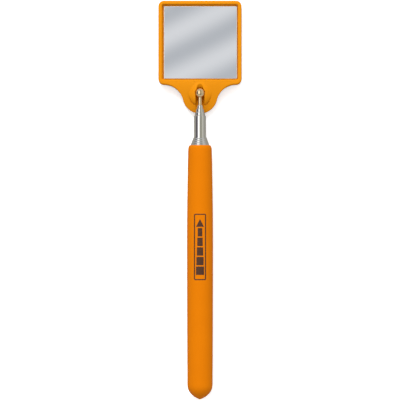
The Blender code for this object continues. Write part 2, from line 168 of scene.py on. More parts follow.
EJECTOR_DEPTH = 0.12 * MM
EJECTOR_INSET = 10.0 * MM
EJECTOR_PAST = 1.0 * MM  # behind the frame's back
EJECTOR_SIDES = 48
CUT_PAST = 5.0 * MM
FRAME_VOXEL = 0.25 * MM
FRAME_EASINGS = 6
FRAME_KEPT = 0.45  # of the skin's faces, after thinning

# Mirror glass
GLASS_CORNER = 0.5 * MM
GLASS_CHAMFER = 0.3 * MM
GLASS_GAP = 0.12 * MM

# Studio
CAMERA_LENS = 200.0
CAMERA_SENSOR = 36.0
PICTURE_MARGIN = 1.0025  # height of the picture over the tool's length
FLOOR_SIZE = 30.0
FLOOR_WHITE = (0.96, 0.96, 0.96, 1)
FLOOR_BOUNCE = (0.50, 0.50, 0.50, 1)  # to the light that it throws back
FLOOR_REFLECTED = (0.29, 0.28, 0.25, 1)  # in chrome and glass
FLOOR_GLOW = 0.38  # seen by the camera alone, so that the shadow on the floor stays faint
SKY_ZENITH = (1.14, 1.14, 1.14, 1)
SKY_HORIZON = (0.44, 0.44, 0.44, 1)
SKY_LEAN = 0.55  # how much brighter the sky is on the mirror's side of the tool
SKY_SEEN = (1.0, 1.0, 1.0, 1)  # by the camera, so that the floor has no horizon
STUDIO_ENDS = (0.10, 0.10, 0.09, 1)
ENDS_MIDDLE = 0.12
ENDS_FADE = (0.35, 0.75)  # how far along the shaft from there they fade in
ENDS_SHARE = 0.75
STUDIO_WALLS = (0.60, 0.61, 0.63, 1)  # low down at the shaft's ends
WALLS_FADE_ALONG = (0.3, 0.55)
WALLS_FADE_UP = (0.45, 0.65)
WALLS_SHARE = 0.85
STUDIO_AROUND = (  # degrees about the shaft, from straight up towards +X
    (-180, (0.30, 0.29, 0.26)),
    (-92, (0.24, 0.23, 0.21)),
    (-78, (0.13, 0.12, 0.13)),
    (-56, (0.10, 0.09, 0.12)),
    (-45, (0.20, 0.19, 0.21)),
    (-38, (1.50, 1.46, 1.42)),
    (-12, (1.40, 1.37, 1.30)),
    (-3, (0.55, 0.54, 0.48)),
    (4, (0.32, 0.32, 0.26)),
    (28, (0.34, 0.33, 0.27)),
    (48, (0.66, 0.65, 0.57)),
    (66, (0.50, 0.49, 0.44)),
    (88, (0.36, 0.35, 0.31)),
    (180, (0.36, 0.35, 0.31)),
)
CARD_SIZE = 0.068
CARD_MIDDLE = 0.123
CARD_HEIGHT = 0.30
CARD_TURN = math.radians(61)
CARD_SCALE = 9.8
CARD_PHASE = -0.17
CARD_DARK = (0.50, 0.52, 0.55, 1)
CARD_LIGHT = (0.73, 0.74, 0.76, 1)
KEY_PLACE = (-0.5, 1.9, 2.0)
KEY_SIZE = 1.2
KEY_POWER = 50.0


# ---- Modelling ----------------------------------------------------------------------------------

def start_fresh():
    """Object mode with nothing selected, so that an operator acts only on what is added next."""
    if bpy.context.object and bpy.context.object.mode != "OBJECT":
        bpy.ops.object.mode_set(mode="OBJECT")
    bpy.ops.object.select_all(action="DESELECT")


def named(name):
    """The object that an operator has just added, with its name and its mesh's."""
    piece = bpy.context.object
    piece.name = name
    piece.data.name = name
    return piece


def activate(piece):
    """Selects one piece alone and makes it active."""
    start_fresh()
    piece.select_set(True)
    bpy.context.view_layer.objects.active = piece


def settle(piece):
    """Moves the object's place into its mesh, which leaves the object at the origin."""
    activate(piece)
    bpy.ops.object.transform_apply(location=True, rotation=True, scale=True)
    return piece


def apply_modifier(piece, modifier):
    """Works a modifier into the mesh."""
    activate(piece)
    bpy.ops.object.modifier_apply(modifier=modifier.name)


def on_axis(height):
    """A point of the shaft's axis, so far above the grip's nose."""
    return Vector((0, NOSE + height, AXIS_HEIGHT))


def quarter(radius, height, across, along, start, end, steps=ARC_STEPS):
    """Points of an ellipse around (radius, height), between two angles in degrees from +radius."""
    angles = [math.radians(start + (end - start) * i / steps) for i in range(steps + 1)]
    return [(radius + across * math.cos(a), height + along * math.sin(a)) for a in angles]


def turned(name, stations, looped=False, smooth=40):
    """A turned piece: a disc, or a ring if it is looped, is extruded and scaled along the shaft
    from station to station. Each is a (radius, height above the nose); a loop ends at its first."""
    start_fresh()
    radius, height = stations[0]
    bpy.ops.mesh.primitive_circle_add(
        vertices=SEGMENTS,
        radius=radius,
        fill_type="NOTHING" if looped else "NGON",
        location=on_axis(height),
        rotation=(math.pi / 2, 0, 0),
    )
    piece = named(name)
    bpy.ops.object.mode_set(mode="EDIT")
    bpy.ops.mesh.select_all(action="SELECT")
    for next_radius, next_height in stations[1:]:
        step = {"value": (0, next_height - height, 0)}
        bpy.ops.mesh.extrude_region_move(TRANSFORM_OT_translate=step)
        scale = next_radius / radius
        bpy.ops.transform.resize(value=(scale, 1, scale), center_override=on_axis(next_height))
        radius, height = next_radius, next_height
    bpy.ops.mesh.select_all(action="SELECT")
    bpy.ops.mesh.remove_doubles(threshold=0.001 * MM)
    bpy.ops.mesh.normals_make_consistent(inside=False)
    bpy.ops.object.mode_set(mode="OBJECT")
    settle(piece)
    bpy.ops.object.shade_smooth_by_angle(angle=math.radians(smooth))
    return piece


def block(name, low, high):
    """A box between two corners."""
    start_fresh()
    low, high = Vector(low), Vector(high)
    bpy.ops.mesh.primitive_cube_add(size=1, location=(low + high) / 2, scale=high - low)
    return settle(named(name))


def round_edges(piece, chosen, width, segments):
    """Bevels the edges that a test picks."""
    activate(piece)
    bpy.ops.object.mode_set(mode="EDIT")
    bpy.ops.mesh.select_mode(type="EDGE")
    bpy.ops.mesh.select_all(action="DESELECT")
    mesh = bmesh.from_edit_mesh(piece.data)
    for edge in mesh.edges:
        edge.select_set(chosen(edge))
    bmesh.update_edit_mesh(piece.data)
    bpy.ops.mesh.bevel(offset=width, segments=segments, affect="EDGES")
    bpy.ops.object.mode_set(mode="OBJECT")


def upright(edge):
    """Whether an edge runs from front to back."""
    low, high = sorted(vert.co.z for vert in edge.verts)
    return high - low > 0.99 * edge.calc_length()


def between(edge, low, high):
    """Whether all of an edge is between two corners given from the ball's centre."""
    return all(
        low[i] <= vert.co[i] - BALL[i] <= high[i] for vert in edge.verts for i in range(3)
    )


def combine(piece, operation, tool):
    """Joins a tool to a piece or cuts it away, and clears the tool."""
    modifier = piece.modifiers.new("combine", "BOOLEAN")
    modifier.operation = operation
    modifier.object = tool
    modifier.solver = "EXACT"
    apply_modifier(piece, modifier)
    bpy.data.objects.remove(tool, do_unlink=True)


# ---- Shaft --------------------------------------------------------------------------------------

def grip_outside():
    """The grip from mouth to nose: swelling to a belly, and ending in the point of a drip."""
    top = GRIP_LENGTH - GRIP_MOUTH_ROUND
    lip = HANDLE_RADIUS + VINYL_GAP + GRIP_MOUTH_LIP
    stations = quarter(lip, top, GRIP_MOUTH_RADIUS - lip, GRIP_MOUTH_ROUND, 90, 0)
    for i in range(1, GRIP_STEPS + 1):
        share = i / GRIP_STEPS
        swell = (GRIP_BELLY_RADIUS - GRIP_MOUTH_RADIUS) * math.sin(share * math.pi / 2)
        stations.append((GRIP_MOUTH_RADIUS + swell, top + (GRIP_BELLY_HEIGHT - top) * share))
    for i in range(1, GRIP_STEPS):
        share = i / GRIP_STEPS
        swell = (GRIP_BELLY_RADIUS - GRIP_HEEL_RADIUS) * math.cos(share * math.pi / 2)
        fall = (GRIP_BELLY_HEIGHT - GRIP_NOSE_LENGTH) * share
        stations.append((GRIP_HEEL_RADIUS + swell, GRIP_BELLY_HEIGHT - fall))
    for i in range(2 * GRIP_STEPS):
        share = i / (2 * GRIP_STEPS)
        across = GRIP_HEEL_RADIUS * (1 - share**GRIP_NOSE_FULLNESS) ** GRIP_NOSE_POINT
        stations.append((across, GRIP_NOSE_LENGTH * (1 - share)))
    return stations + [(0, 0)]


def make_grip():
    """The dipped vinyl, closed over the handle tube's foot and open at its mouth."""
    low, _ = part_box("handle_tube")
    seat = low.y - NOSE - VINYL_GAP
    bore = HANDLE_RADIUS + VINYL_GAP
    hollow = quarter(0, seat, bore, seat - GRIP_NOSE_WALL, -80, 0)
    inside = [*hollow, (bore, GRIP_LENGTH - VINYL_GAP), (bore + VINYL_GAP, GRIP_LENGTH)]
    grip = turned("dipped_grip", inside + grip_outside(), smooth=60)
    stand_in(grip, "grip", "handle", dipped_vinyl())
    return grip


def make_handle_tube():
    """The handle tube, swaged down at its neck in rings."""
    low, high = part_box("handle_tube")
    foot, top = low.y - NOSE, high.y - NOSE
    mouth = tube_radius(1) + MOUTH_GAP
    bore = HANDLE_RADIUS - HANDLE_WALL
    shoulder = top - NECK_LENGTH
    edge = mouth + NECK_EDGE
    stations = [(mouth, top - MOUTH_CHAMFER), (mouth + MOUTH_CHAMFER, top)]
    steps = 8 * NECK_RINGS
    for i in range(steps + 1):
        share = i / steps
        ring = NECK_RING_DEPTH * math.cos(math.tau * NECK_RINGS * share)
        stations.append((edge + (HANDLE_RADIUS - edge) * share + ring, top - NECK_LENGTH * share))
    stations += [(HANDLE_RADIUS, foot), (bore, foot), (bore, shoulder), (mouth, top - NECK_LIP)]
    stations.append(stations[0])
    tube = turned("swaged_handle_tube", stations, looped=True)
    stand_in(tube, "handle_tube", "handle", chrome())


def tube_radius(number):
    """Outer radius of a sliding tube."""
    low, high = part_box(f"tube_{number}")
    return (high.x - low.x) / 2


def make_sliding_tube(number):
    """A drawn tube with a rolled crimp at its mouth, and a lip rolled in at its foot."""
    low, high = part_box(f"tube_{number}")
    foot, top = low.y - NOSE, high.y - NOSE
    radius = tube_radius(number)
    bore = radius - TUBE_WALL
    inner = SHANK_RADIUS if number == TUBE_COUNT else tube_radius(number + 1)
    mouth = inner + MOUTH_GAP
    crimp = top - CRIMP_LENGTH
    edge = mouth + CRIMP_EDGE
    stations = [(mouth, top - MOUTH_CHAMFER), (mouth + MOUTH_CHAMFER, top)]
    stations += quarter(edge, crimp, radius - edge, CRIMP_LENGTH, 85, 0, 2 * ARC_STEPS)
    if number < TUBE_COUNT:
        lip = tube_radius(number + 1) - FOOT_LIP_OVERLAP
        stations += quarter(radius - FOOT_LIP, foot + FOOT_LIP, FOOT_LIP, FOOT_LIP, 0, -90)
        stations += [(lip, foot), (lip, foot + FOOT_LIP), (bore, foot + FOOT_LIP)]
    else:
        stations += [(radius, foot), (bore, foot)]
    stations += quarter(mouth, crimp, bore - mouth, CRIMP_LENGTH - TUBE_WALL, 0, 90)
    stations.append(stations[0])
    tube = turned(f"sliding_tube_{number}", stations, looped=True)
    stand_in(tube, f"tube_{number}", f"stage_{number}", chrome())


def make_ball_stud():
    """The polished ball with its parting flat, and the shank with its cupped seat and its rivet."""
    middle = BALL.y - NOSE
    flat = math.asin(BALL_FLAT / BALL_RADIUS)
    steps = SEGMENTS // 2
    angles = [flat + (math.pi - flat) * i / steps for i in range(steps)]
    outside = [(BALL_RADIUS * math.sin(a), middle + BALL_RADIUS * math.cos(a)) for a in angles]
    ball = turned("polished_ball", outside + [(0, middle - BALL_RADIUS)])
    stand_in(ball, "pivot_ball", "ball", steel_with_painted_reflection())

    low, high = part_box("stud_shank")
    foot = low.y - NOSE
    rivet = (high.x - low.x) / 2
    cup = BALL_RADIUS + SEAT_GAP
    reach = math.asin(SHANK_RADIUS / cup)
    seat = [reach * i / ARC_STEPS for i in range(1, ARC_STEPS + 1)]
    stations = [(cup * math.sin(a), middle - cup * math.cos(a)) for a in seat]
    stations += [(SHANK_RADIUS, foot + RIVET_HEIGHT), (rivet, foot + RIVET_HEIGHT)]
    stations += quarter(0, foot + RIVET_ROUND, rivet, RIVET_ROUND, 0, -90)[:-1] + [(0, foot)]
    shank = turned("stud_shank_turned", stations)
    stand_in(shank, "stud_shank", "stud", steel_with_painted_reflection())


# ---- Head ---------------------------------------------------------------------------------------

def from_ball(x, height, level):
    """A place given from the ball's centre."""
    return BALL + Vector((x, height, level))


def head_outline():
    """(x, height) points around the head: a square with round corners, whose lower edge sweeps
    through two coves into a round tongue. Each cove touches its corner and the tongue's circle."""
    cove_x = HEAD_WIDTH / 2 - HEAD_CORNER
    rise = HEAD_START + TONGUE_DROP
    cove = (cove_x**2 - TONGUE_RADIUS**2 + rise**2) / (2 * (TONGUE_RADIUS + rise))
    meet = math.degrees(math.atan2(rise - cove, cove_x))
    low, top = HEAD_START + HEAD_CORNER, HEAD_TOP - HEAD_CORNER
    right = quarter(0, -TONGUE_DROP, TONGUE_RADIUS, TONGUE_RADIUS, -90, meet, 4 * ARC_STEPS)
    right += quarter(cove_x, HEAD_START - cove, cove, cove, 180 + meet, 90, 3 * ARC_STEPS)[1:]
    right += quarter(cove_x, low, HEAD_CORNER, HEAD_CORNER, -90, 0)[1:]
    right += quarter(cove_x, top, HEAD_CORNER, HEAD_CORNER, 0, 90)
    return right + [(-x, height) for x, height in reversed(right[1:])]


def drawn(name, outline, rise):
    """A flat outline, drawn by moving a circle's points to it, and extruded."""
    start_fresh()
    bpy.ops.mesh.primitive_circle_add(vertices=len(outline), radius=HEAD_WIDTH, fill_type="NGON")
    made = settle(named(name))
    bpy.ops.object.mode_set(mode="EDIT")
    mesh = bmesh.from_edit_mesh(made.data)
    corner = mesh.faces[:][0].loops[0]
    for place in outline:
        corner.vert.co = place
        corner = corner.link_loop_next
    bmesh.update_edit_mesh(made.data)
    bpy.ops.mesh.select_all(action="SELECT")
    bpy.ops.mesh.extrude_region_move(TRANSFORM_OT_translate={"value": rise})
    bpy.ops.mesh.select_all(action="SELECT")
    bpy.ops.mesh.normals_make_consistent(inside=False)
    bpy.ops.object.mode_set(mode="OBJECT")
    return made


def head_plate():
    """The head before its face is shaped: a flat plate drawn to its outline."""
    outline = [from_ball(x, height, BACK_LEVEL) for x, height in head_outline()]
    return drawn("moulded_frame", outline, (0, 0, RIM_LEVEL - BACK_LEVEL))


def front_edge(edge):
    """Whether an edge is between a plate's side and its front."""
    side, front = sorted(face.normal.z for face in edge.link_faces)
    return abs(side) < 0.1 and front > 0.5


def back_edge(edge):
    """Whether an edge is between a plate's side and its back."""
    back, side = sorted(face.normal.z for face in edge.link_faces)
    return abs(side) < 0.1 and back < -0.5


def socket_dome():
    """The dome around the socket, stretched upward so that it runs out under the rim."""
    start_fresh()
    opening_depth = math.sqrt((BALL_RADIUS + SOCKET_GAP) ** 2 - OPENING_RADIUS**2)
    side = math.sqrt(1 - (OPENING_RADIUS / DOME_RADIUS) ** 2)
    height = (opening_depth - DOME_BASE) / side
    centre = from_ball(0, 0, DOME_BASE)
    bpy.ops.mesh.primitive_uv_sphere_add(
        segments=SEGMENTS,
        ring_count=SEGMENTS // 2,
        radius=1,
        location=centre,
        scale=(DOME_RADIUS, DOME_RADIUS, height),
    )
    dome = settle(named("dome"))
    bpy.ops.object.mode_set(mode="EDIT")
    bpy.ops.mesh.select_all(action="DESELECT")
    mesh = bmesh.from_edit_mesh(dome.data)
    for vert in mesh.verts:
        vert.select_set(vert.co.y > centre.y + TOUCH)
    bmesh.update_edit_mesh(dome.data)
    bpy.ops.transform.resize(value=(1, DOME_RISE / DOME_RADIUS, 1), center_override=centre)
    bpy.ops.object.mode_set(mode="OBJECT")
    below = block(
        "below",
        centre + Vector((-1, -1, -1)) * 2 * DOME_RISE,
        centre + Vector((2 * DOME_RISE, 2 * DOME_RISE, DOME_UNDERSIDE)),
    )
    combine(dome, "DIFFERENCE", below)
    return dome


def slope_level(height):
    """The level of the tongue's face, which falls ever faster from the rim to the tip."""
    run = SLOPE_START + HEAD_START + TONGUE_DROP + TONGUE_RADIUS - SLOPE_END
    share = (HEAD_START + SLOPE_START - height) / run
    return RIM_LEVEL - (RIM_LEVEL - FLOOR_LEVEL) * share**SLOPE_POWER


def crease_tool():
    """A leaning ring, which cuts a groove along the dome's foot but not above the ball."""
    start_fresh()
    middle, foot = slope_level(0) + CREASE_DEPTH, slope_level(-CREASE_ALONG)
    centre = from_ball(0, 0, middle)
    bpy.ops.mesh.primitive_torus_add(
        location=centre,
        rotation=(math.atan2(middle - foot, CREASE_ALONG), 0, 0),
        major_segments=SEGMENTS,
        minor_segments=16,
        major_radius=CREASE_ALONG,
        minor_radius=CREASE_DEPTH,
    )
    crease = settle(named("crease"))
    bpy.ops.object.mode_set(mode="EDIT")
    bpy.ops.mesh.select_all(action="SELECT")
    bpy.ops.transform.resize(value=(CREASE_ACROSS / CREASE_ALONG, 1, 1), center_override=centre)
    bpy.ops.object.mode_set(mode="OBJECT")
    return crease


def slope_tools():
    """The cutters that take the tongue's face down from the rim and level its very tip."""
    half = HEAD_WIDTH / 2 + CUT_PAST
    start = HEAD_START + SLOPE_START
    tip = -TONGUE_DROP - TONGUE_RADIUS
    end = tip + SLOPE_END
    above = RIM_LEVEL + CUT_PAST
    curve = []
    for step in range(SLOPE_STEPS + 1):
        height = start - (start - end) * step / SLOPE_STEPS
        curve.append((height, slope_level(height)))
    curve += [(end, above), (start, above)]
    section = [from_ball(-half, height, level) for height, level in curve]
    wedge = drawn("wedge", section, (2 * half, 0, 0))
    low = from_ball(-half, tip - CUT_PAST, FLOOR_LEVEL)
    landing = block("landing", low, from_ball(half, end + TOUCH, above))
    return wedge, landing


def slot_floor_edge(edge):
    """Whether an edge runs along the slot's floor."""
    a, b = (vert.co - BALL for vert in edge.verts)
    return max(a.z, b.z) < SLOT_LEVEL + TOUCH and abs(a.x - b.x) < TOUCH


def socket_tools():
    """The ball's seat, the slot for the shank below it, and the groove that it folds up into."""
    start_fresh()
    bpy.ops.mesh.primitive_uv_sphere_add(
        segments=SEGMENTS,
        ring_count=SEGMENTS // 2,
        radius=BALL_RADIUS + SOCKET_GAP,
        location=BALL,
    )
    seat = settle(named("seat"))
    half = SLOT_WIDTH / 2
    low = from_ball(-half, -TONGUE_DROP - TONGUE_RADIUS - CUT_PAST, SLOT_LEVEL)
    slot = block("slot", low, from_ball(half, SLOT_TOP, RIM_LEVEL + CUT_PAST))
    round_edges(slot, slot_floor_edge, SLOT_ROUND, 6)
    start_fresh()
    direction = Vector((0, math.sin(GROOVE_LEAN), math.cos(GROOVE_LEAN)))
    bpy.ops.mesh.primitive_cylinder_add(
        vertices=SEGMENTS // 2,
        radius=GROOVE_RADIUS,
        depth=DOME_RISE,
        location=BALL + direction * DOME_RISE / 2,
        rotation=direction.to_track_quat("Z", "Y").to_euler(),
    )
    groove = settle(named("groove"))
    return slot, groove, seat


def around_recess(edge):
    """Whether an edge is one of the rim's inner edges."""
    half = HEAD_WIDTH / 2 - SIDE_RIM + TOUCH
    low = (-half, HEAD_START + LOWER_RIM - TOUCH, RIM_LEVEL - TOUCH)
    return between(edge, low, (half, HEAD_TOP - SIDE_RIM + TOUCH, RIM_LEVEL + TOUCH))


def recess_tools():
    """The recess inside the rim, and the pocket in its floor for the pad and the glass."""
    glass_low, glass_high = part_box("mirror_glass")
    half = HEAD_WIDTH / 2 - SIDE_RIM
    ledge = glass_high.z - BALL.z - LEDGE_DEPTH
    low = from_ball(-half, HEAD_START + LOWER_RIM, ledge)
    recess = block("recess", low, from_ball(half, HEAD_TOP - SIDE_RIM, RIM_LEVEL + CUT_PAST))
    round_edges(recess, upright, RECESS_CORNER, 4)
    low = Vector((glass_low.x - GLASS_GAP, glass_low.y - GLASS_GAP, BALL.z + FLOOR_LEVEL))
    high = Vector((glass_high.x + GLASS_GAP, glass_high.y + GLASS_GAP, glass_high.z + CUT_PAST))
    return recess, block("pocket", low, high)


def ejector_mark(x, height):
    """A short upright cylinder, which sinks an ejector pin's mark in the frame's back."""
    start_fresh()
    low, high = BACK_LEVEL - EJECTOR_PAST, BACK_LEVEL + EJECTOR_DEPTH
    bpy.ops.mesh.primitive_cylinder_add(
        vertices=EJECTOR_SIDES,
        radius=EJECTOR_RADIUS,
        depth=high - low,
        location=from_ball(x, height, (low + high) / 2),
    )
    return settle(named("ejector"))


def make_head_frame():
    """The moulded frame. Its shapes are joined and cut sharp, then skinned at the size of a small
    fillet and eased, which rounds every edge and corner as a mould does."""
    head = head_plate()
    round_edges(head, front_edge, RIM_ROUND, 6)
    round_edges(head, back_edge, BACK_ROUND, 3)
    for tool in slope_tools():
        combine(head, "DIFFERENCE", tool)
    combine(head, "UNION", socket_dome())
    recess, pocket = recess_tools()
    combine(head, "DIFFERENCE", recess)
    round_edges(head, around_recess, RECESS_ROUND, 3)
    combine(head, "DIFFERENCE", pocket)
    combine(head, "DIFFERENCE", crease_tool())
    for tool in socket_tools():
        combine(head, "DIFFERENCE", tool)
    across = HEAD_WIDTH / 2 - EJECTOR_INSET
    for x in (-across, across):
        for height in (HEAD_START + EJECTOR_INSET, HEAD_TOP - EJECTOR_INSET):
            combine(head, "DIFFERENCE", ejector_mark(x, height))

    skin = head.modifiers.new("skin", "REMESH")
    skin.mode = "VOXEL"
    skin.voxel_size = FRAME_VOXEL
    skin.use_smooth_shade = True
    apply_modifier(head, skin)
    ease = head.modifiers.new("ease", "SMOOTH")
    ease.factor = 0.5
    ease.iterations = FRAME_EASINGS
    apply_modifier(head, ease)
    thin = head.modifiers.new("thin", "DECIMATE")
    thin.ratio = FRAME_KEPT
    apply_modifier(head, thin)

    activate(head)
    bpy.ops.object.shade_smooth_by_angle(angle=math.radians(50))
    stand_in(head, "mirror_frame", "head", moulded_plastic())


def make_glass():
    """The mirror glass, with its front edge ground and its corners nipped."""
    low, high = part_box("mirror_glass")
    glass = block("silvered_glass", low, high)
    round_edges(glass, upright, GLASS_CORNER, 3)
    round_edges(glass, front_edge, GLASS_CHAMFER, 1)
    glass.data.materials.append(silvered_glass())
    glass.data.materials.append(ground_edge())
    for face in glass.data.polygons:
        face.material_index = 0 if face.normal.z > 0.99 else 1
    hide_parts("mirror_glass")
    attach(glass, "head")


# ---- Printed mark -------------------------------------------------------------------------------

def print_level():
    """A level above the grip, from which the print is pressed down."""
    return AXIS_HEIGHT + GRIP_BELLY_RADIUS + PRINT_ABOVE


def flat_patch(name, width, length, height):
    """A flat rectangle over the grip, with its middle so far above the nose."""
    start_fresh()
    place = (0, NOSE + height, print_level())
    bpy.ops.mesh.primitive_plane_add(size=1, location=place)
    patch = named(name)
    bpy.ops.object.mode_set(mode="EDIT")
    bpy.ops.mesh.select_all(action="SELECT")
    bpy.ops.transform.resize(value=(width, length, 1), center_override=place)
    bpy.ops.object.mode_set(mode="OBJECT")
    return settle(patch)


def print_outline():
    """A rectangle's outline with round corners."""
    outline = flat_patch("printed_mark", PRINT_WIDTH, PRINT_LENGTH, PRINT_MIDDLE)
    bpy.ops.object.mode_set(mode="EDIT")
    bpy.ops.mesh.select_all(action="SELECT")
    bpy.ops.mesh.bevel(offset=PRINT_CORNER, segments=6, affect="VERTICES")
    bpy.ops.mesh.select_all(action="SELECT")
    bpy.ops.mesh.inset(thickness=PRINT_LINE)
    bpy.ops.mesh.delete(type="FACE")
    bpy.ops.object.mode_set(mode="OBJECT")
    return outline


def sign_shapes():
    """A shaft drawn out in blocks that get narrower, and an arrow at its end."""
    run = SIGN_BLOCKS * (SIGN_BLOCK_LENGTH + SIGN_SPACE) + SIGN_ARROW
    start = PRINT_MIDDLE - run / 2
    shapes = []
    for i in range(SIGN_BLOCKS):
        middle = start + i * (SIGN_BLOCK_LENGTH + SIGN_SPACE) + SIGN_BLOCK_LENGTH / 2
        width = SIGN_WIDTH - i * SIGN_NARROWING
        shapes.append(flat_patch("block", width, SIGN_BLOCK_LENGTH, middle))
    arrow = flat_patch("arrow", SIGN_WIDTH, SIGN_ARROW, start + run - SIGN_ARROW / 2)
    bpy.ops.object.mode_set(mode="EDIT")
    mesh = bmesh.from_edit_mesh(arrow.data)
    for vert in mesh.verts:
        vert.select_set(vert.co.y > NOSE + start + run - SIGN_ARROW / 2)
    mesh.select_flush_mode()
    bmesh.update_edit_mesh(arrow.data)
    bpy.ops.mesh.merge(type="CENTER")
    bpy.ops.object.mode_set(mode="OBJECT")
    return [*shapes, arrow]


def make_print(grip):
    """The mark: flat shapes, cut in strips, pressed on the grip and given the ink's thickness."""
    mark = print_outline()
    shapes = sign_shapes()
    activate(mark)
    for shape in shapes:
        shape.select_set(True)
    bpy.ops.object.join()
    bpy.ops.object.mode_set(mode="EDIT")
    for axis, size, step in ((0, PRINT_WIDTH, PRINT_STEP), (1, PRINT_LENGTH, PRINT_ROWS)):
        count = int(size / 2 / step)
        for i in range(-count, count + 1):
            place = Vector((0, NOSE + PRINT_MIDDLE, print_level()))
            place[axis] += i * step
            across = [0, 0, 0]
            across[axis] = 1
            bpy.ops.mesh.select_all(action="SELECT")
            bpy.ops.mesh.bisect(plane_co=place, plane_no=across)
    bpy.ops.object.mode_set(mode="OBJECT")
    press = mark.modifiers.new("press", "SHRINKWRAP")
    press.target = grip
    press.wrap_method = "PROJECT"
    press.use_project_z = True
    press.use_negative_direction = True
    press.use_positive_direction = False
    press.offset = PRINT_LAYER / 2
    apply_modifier(mark, press)
    layer = mark.modifiers.new("layer", "SOLIDIFY")
    layer.thickness = PRINT_LAYER
    layer.offset = 0
    apply_modifier(mark, layer)
    mark.data.materials.append(printing_ink())
    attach(mark, "handle")


# ---- Materials ----------------------------------------------------------------------------------

def feed(tree, made, values):
    """Sets a node's inputs: a socket is linked, and anything else is its value."""
    for name, value in values.items():
        if isinstance(value, bpy.types.NodeSocket):
            tree.links.new(value, made.inputs[name])
        else:
            made.inputs[name].default_value = value


def add(tree, kind, values=None, **settings):
    """A new node with its settings and inputs."""
    made = tree.nodes.new(kind)
    for name, value in settings.items():
        setattr(made, name, value)
    feed(tree, made, values or {})
    return made


def maths(tree, operation, first, second=0.0):
    """The result of a Math node."""
    made = add(tree, "ShaderNodeMath", operation=operation)
    feed(tree, made, {0: first, 1: second})
    return made.outputs[0]


def blend_colours(tree, share, first, second):
    """A colour between two, by a share from 0 to 1."""
    made = add(tree, "ShaderNodeMix", data_type="RGBA")
    feed(tree, made, {"Factor": share, "A": first, "B": second})
    return made.outputs["Result"]


def spread(tree, value, low, high):
    """A value from 0 to 1 spread between two others."""
    made = add(tree, "ShaderNodeMapRange", {"Value": value, "To Min": low, "To Max": high})
    return made.outputs["Result"]


def new_group(name, inputs, outputs):
    """A shader node group with its number sockets."""
    group = bpy.data.node_groups.new(name, "ShaderNodeTree")
    number = "NodeSocketFloat"
    for socket, value in inputs.items():
        made = group.interface.new_socket(socket, in_out="INPUT", socket_type=number)
        made.default_value = value
    for socket in outputs:
        group.interface.new_socket(socket, in_out="OUTPUT", socket_type=number)
    return group


def surface_group():
    """Fine relief with broad unevenness: a height for the bump, and a mask for colour and gloss."""
    found = bpy.data.node_groups.get("uneven_surface")
    if found:
        return found
    inputs = {"Fine Scale": 2500.0, "Broad Scale": 90.0, "Stretch": 1.0}
    group = new_group("uneven_surface", inputs, ("Height", "Mask"))
    given = group.nodes.new("NodeGroupInput")
    result = group.nodes.new("NodeGroupOutput")
    place = add(group, "ShaderNodeTexCoord").outputs["Object"]
    stretch = add(group, "ShaderNodeCombineXYZ", {"X": 1.0, "Z": 1.0})
    feed(group, stretch, {"Y": given.outputs["Stretch"]})
    along = add(group, "ShaderNodeVectorMath", operation="MULTIPLY")
    feed(group, along, {0: place, 1: stretch.outputs["Vector"]})
    fine = add(group, "ShaderNodeTexNoise", {
        "Vector": along.outputs["Vector"],
        "Scale": given.outputs["Fine Scale"],
        "Detail": 3.0,
        "Roughness": 0.6,
    })
    broad = add(group, "ShaderNodeTexNoise", {
        "Vector": along.outputs["Vector"],
        "Scale": given.outputs["Broad Scale"],
        "Detail": 4.0,
        "Roughness": 0.55,
    })
    feed(group, result, {"Height": fine.outputs["Fac"], "Mask": broad.outputs["Fac"]})
    return group


def new_material(name, **sockets):
    """A material with its Principled shader's plain values, and the shader."""
    made = bpy.data.materials.new(name)
    made.use_nodes = True
    shader = made.node_tree.nodes["Principled BSDF"]
    for socket, value in sockets.items():
        shader.inputs[socket.replace("_", " ")].default_value = value
    return made, made.node_tree, shader


def finish_surface(tree, shader, colours, gloss, relief, fine=2500.0, broad=90.0, stretch=1.0):
    """Gives a shader two mingled colours, a range of roughness and a fine relief."""
    surface = add(tree, "ShaderNodeGroup", node_tree=surface_group())
    feed(tree, surface, {"Fine Scale": fine, "Broad Scale": broad, "Stretch": stretch})
    mask = surface.outputs["Mask"]
    colour = blend_colours(tree, mask, (*colours[0], 1.0), (*colours[1], 1.0))
    bump = add(tree, "ShaderNodeBump", {
        "Height": surface.outputs["Height"],
        "Distance": relief,
    })
    feed(tree, shader, {
        "Base Color": colour,
        "Roughness": spread(tree, mask, *gloss),
        "Normal": bump.outputs["Normal"],
    })


def material_once(build):
    """Makes a material only the first time that it is asked for."""
    kept = []

    def ask():
        if not kept:
            kept.append(build())
        return kept[0]

    return ask


@material_once
def dipped_vinyl():
    made, tree, shader = new_material("dipped_vinyl", Specular_IOR_Level=0.03)
    colours = (0.67, 0.180, 0.001), (0.62, 0.162, 0.001)
    finish_surface(tree, shader, colours, (0.42, 0.55), 0.02 * MM, fine=1400.0, broad=60.0)
    return made


@material_once
def moulded_plastic():
    made, tree, shader = new_material("moulded_plastic", Specular_IOR_Level=0.09)
    colours = (0.70, 0.245, 0.002), (0.65, 0.22, 0.001)
    finish_surface(tree, shader, colours, (0.26, 0.36), 0.008 * MM, fine=3000.0, broad=70.0)
    return made


@material_once
def chrome():
    made, tree, shader = new_material("drawn_chrome", Metallic=1.0)
    colours = (0.82, 0.82, 0.81), (0.76, 0.76, 0.75)
    gloss = (0.06, 0.14)
    finish_surface(tree, shader, colours, gloss, 0.002 * MM, fine=3000.0, broad=400.0, stretch=0.02)
    return made


@material_once
def steel_with_painted_reflection():
    made, tree, shader = new_material("steel_with_painted_reflection", Metallic=1.0)
    # Base colour tinted orange: partly the steel's own colour, partly a painted reflection of the
    # orange plastic around the ball
    colours = (0.97, 0.77, 0.48), (0.93, 0.69, 0.39)
    finish_surface(tree, shader, colours, (0.16, 0.26), 0.001 * MM, fine=4000.0, broad=500.0)
    return made


